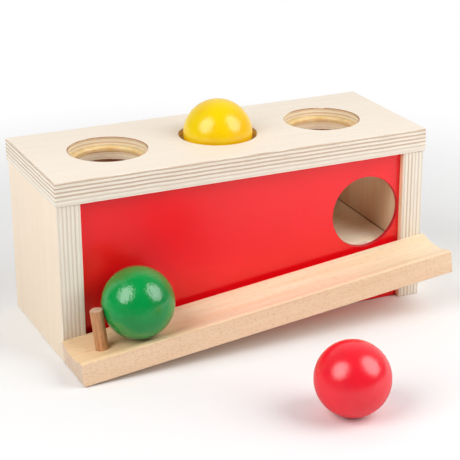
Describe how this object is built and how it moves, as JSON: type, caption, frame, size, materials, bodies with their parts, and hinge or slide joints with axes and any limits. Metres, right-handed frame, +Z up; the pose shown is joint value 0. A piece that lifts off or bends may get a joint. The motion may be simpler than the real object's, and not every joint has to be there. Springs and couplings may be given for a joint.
{
  "type": "object permanence box",
  "caption": "Wooden push-ball box: balls pressed through rubber rings in the top drop onto a hidden chute, leave by a round hole in the front and stop on a sloping rail.",
  "frame": {"origin": "middle of the box's underside, on the surface it stands on", "axes": "+X along the box towards the exit hole's end, +Y from the front to the back, +Z up"},
  "size_m": [0.2561, 0.2535, 0.1397],
  "materials": {
    "birch_plywood": "clear satin lacquer, plies bare at the edges",
    "thin_plywood": "clear matt lacquer",
    "pine": "sawn, unfinished",
    "beech": "clear satin lacquer",
    "dowel_beech": "turned, clear lacquer",
    "red_lacquer": "glossy red lacquer",
    "amber_rubber": "smooth, slightly translucent",
    "yellow_lacquer": "glossy yellow lacquer",
    "green_lacquer": "glossy green lacquer",
    "ball_red_lacquer": "glossy red lacquer"
  },
  "bodies": {
    "box": {"top_panel": "birch_plywood", "left_end_panel": "birch_plywood", "right_end_panel": "birch_plywood", "front_panel": "red_lacquer", "back_panel": "thin_plywood", "base_panel": "thin_plywood", "chute_floor": "thin_plywood", "left_cleat": "pine", "right_cleat": "pine", "ball_rail": "beech", "stop_peg": "dowel_beech", "left_grip_ring": "amber_rubber", "centre_grip_ring": "amber_rubber", "right_grip_ring": "amber_rubber", "left_top_dowels": "dowel_beech", "right_top_dowels": "dowel_beech", "left_rail_dowel": "dowel_beech", "right_rail_dowel": "dowel_beech"},
    "held_ball": {"yellow_ball": "yellow_lacquer"},
    "rail_ball": {"green_ball": "green_lacquer"},
    "loose_ball": {"red_ball": "ball_red_lacquer"}
  },
  "joints": [
    {"name": "ball_push", "type": "slide", "parent": "box", "child": "held_ball", "axis": [0, 0, 1], "range_m": [-0.0475, 0.045], "deforming": ["centre_grip_ring"]},
    {"name": "ball_roll", "type": "slide", "parent": "box", "child": "rail_ball", "axis": [0.9938, 0, 0.1112], "range_m": [0, 0.1695]},
    {"name": "ball_lift", "type": "slide", "parent": "box", "child": "loose_ball", "axis": [0, 0, 1], "range_m": [0, 0.12]}
  ]
}
